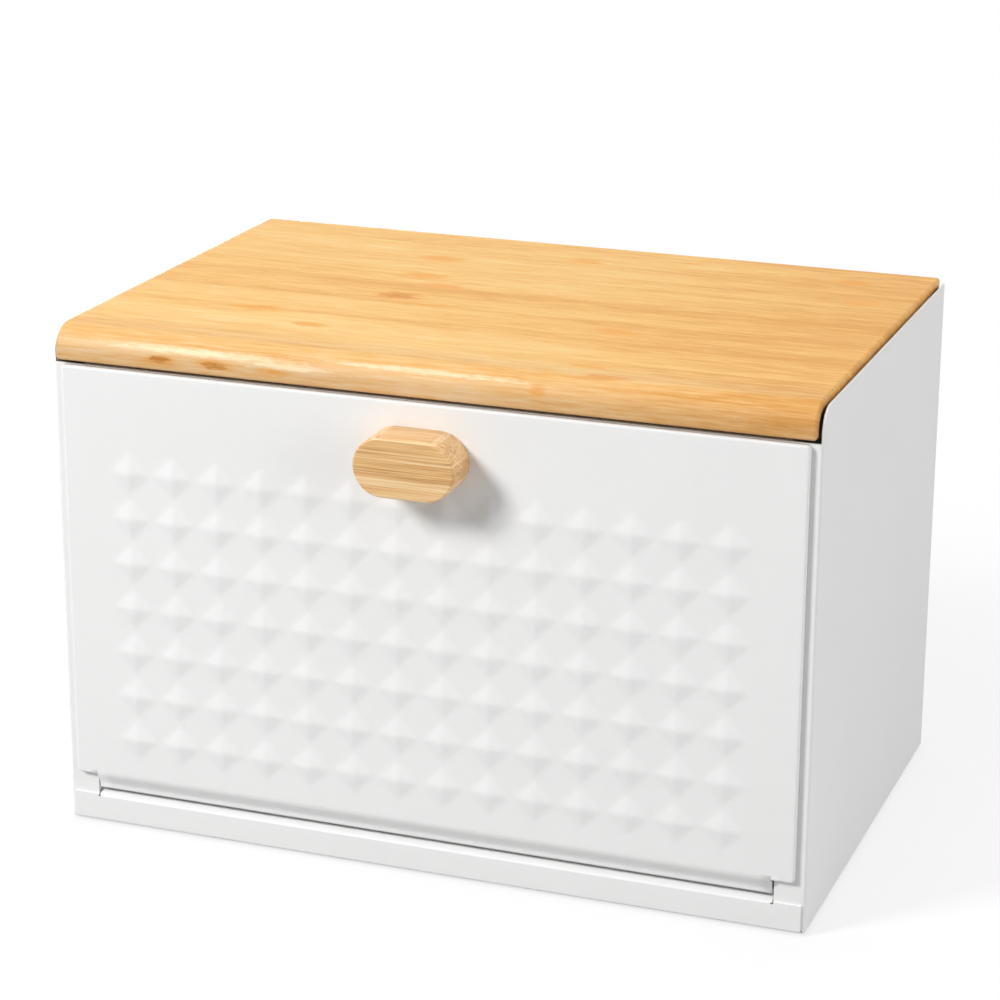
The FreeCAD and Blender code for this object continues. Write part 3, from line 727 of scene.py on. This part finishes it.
def floor_finish():
    """Pale floor that keeps the shadow and turns white far from the bin."""
    made, tree, shader, where = material("floor_white")
    speckle = noise(tree, where, scale=60.0, detail=4.0)
    pale = ramp(tree, speckle, [(0.3, (0.93, 0.93, 0.93)), (0.7, (0.95, 0.95, 0.95))])
    tree.links.new(mixed(tree, seen_directly(tree), (*FLOOR_BOUNCE, 1.0), pale),
                   shader.inputs["Base Color"])
    shader.inputs["Roughness"].default_value = 0.9
    shader.inputs["Specular IOR Level"].default_value = 0.1
    white = add(tree, "ShaderNodeEmission", {"Color": (1, 1, 1, 1), "Strength": 1.0})
    distance = add(tree, "ShaderNodeVectorMath", {0: where}, operation="LENGTH")
    far = add(tree, "ShaderNodeMapRange", {
        "Value": distance.outputs["Value"], "From Min": FLOOR_WHITE[0],
        "From Max": FLOOR_WHITE[1], "To Min": FLOOR_LIFT, "To Max": 1.0},
        interpolation_type="SMOOTHSTEP").outputs["Result"]
    mix = add(tree, "ShaderNodeMixShader", {
        0: times(tree, far, seen_directly(tree)),
        1: shader.outputs["BSDF"], 2: white.outputs["Emission"]})
    tree.links.new(mix.outputs["Shader"], tree.nodes["Material Output"].inputs["Surface"])
    return made


def floor():
    """Wide flat floor under the bin."""
    mesh = bpy.data.meshes.new("floor")
    size = FLOOR_HALF
    mesh.from_pydata([(-size, -size, 0), (size, -size, 0), (size, size, 0), (-size, size, 0)],
                     [], [(0, 1, 2, 3)])
    mesh.materials.append(floor_finish())
    ground = bpy.data.objects.new("floor", mesh)
    bpy.context.scene.collection.objects.link(ground)


def softbox(name, direction, distance, size, power):
    """Square area lamp that faces the middle of the bin."""
    data = bpy.data.lights.new(name, "AREA")
    data.shape = "SQUARE"
    data.size = size
    data.energy = power
    lamp = bpy.data.objects.new(name, data)
    target = place(*LAMP_AIM)
    lamp.location = target + Vector(direction).normalized() * distance
    lamp.rotation_euler = (lamp.location - target).to_track_quat("Z", "Y").to_euler()
    bpy.context.scene.collection.objects.link(lamp)


def light():
    """Key from the upper left, fill from the right, top and rear lamps, even surround."""
    for lamp in LAMPS:
        softbox(*lamp)
    world = bpy.data.worlds.new("studio")
    bpy.context.scene.world = world
    world.use_nodes = True
    tree = world.node_tree
    background = tree.nodes["Background"]
    background.inputs["Color"].default_value = (1, 1, 1, 1)
    tree.links.new(spread(tree, seen_directly(tree), SURROUND, 1.0),
                   background.inputs["Strength"])


def make_finishes():
    """One material for each material slot of the record."""
    return {
        "white_powder_coat": powder_coat(),
        "bamboo_lid": bamboo_lid(),
        "bamboo_knob": bamboo_knob(),
        "zinc_steel": metal("zinc_steel", (0.72, 0.73, 0.74), rough=(0.28, 0.42),
                            stretch=(300, 1800, 1800), distance=0.01),
        "brass": metal("brass", (0.78, 0.60, 0.28), rough=(0.22, 0.36),
                       stretch=(400, 2500, 400), distance=0.01),
        "magnet": metal("magnet_nickel", (0.75, 0.75, 0.76), rough=(0.14, 0.24),
                        stretch=(900, 900, 900), distance=0.004),
        "black_nylon": moulded("black_nylon", (0.05, 0.05, 0.05), rough=(0.45, 0.6),
                               grain=1500, distance=0.01),
        "white_plastic": moulded("white_plastic", (0.84, 0.84, 0.83), rough=(0.3, 0.42),
                                 grain=900, distance=0.006),
        "foot_rubber": moulded("foot_rubber", (0.33, 0.33, 0.33), rough=(0.7, 0.85),
                               grain=1100, distance=0.03),
    }


def dress_nodes(finishes):
    """Gives every CAD node the material of its slot in the record."""
    for row in frame["record"]["subparts"]:
        node = frame["nodes"][row["node"]]
        for slot in node.material_slots:
            slot.material = finishes[row["material_slot"]]


camera()
light()
floor()
finishes = make_finishes()
dress_nodes(finishes)
lid(finishes["bamboo_lid"])
thicken(flap(finishes["white_powder_coat"]))
sill(finishes["white_powder_coat"])
knob(finishes["bamboo_knob"])

bpy.context.scene.view_settings.view_transform = "Standard"
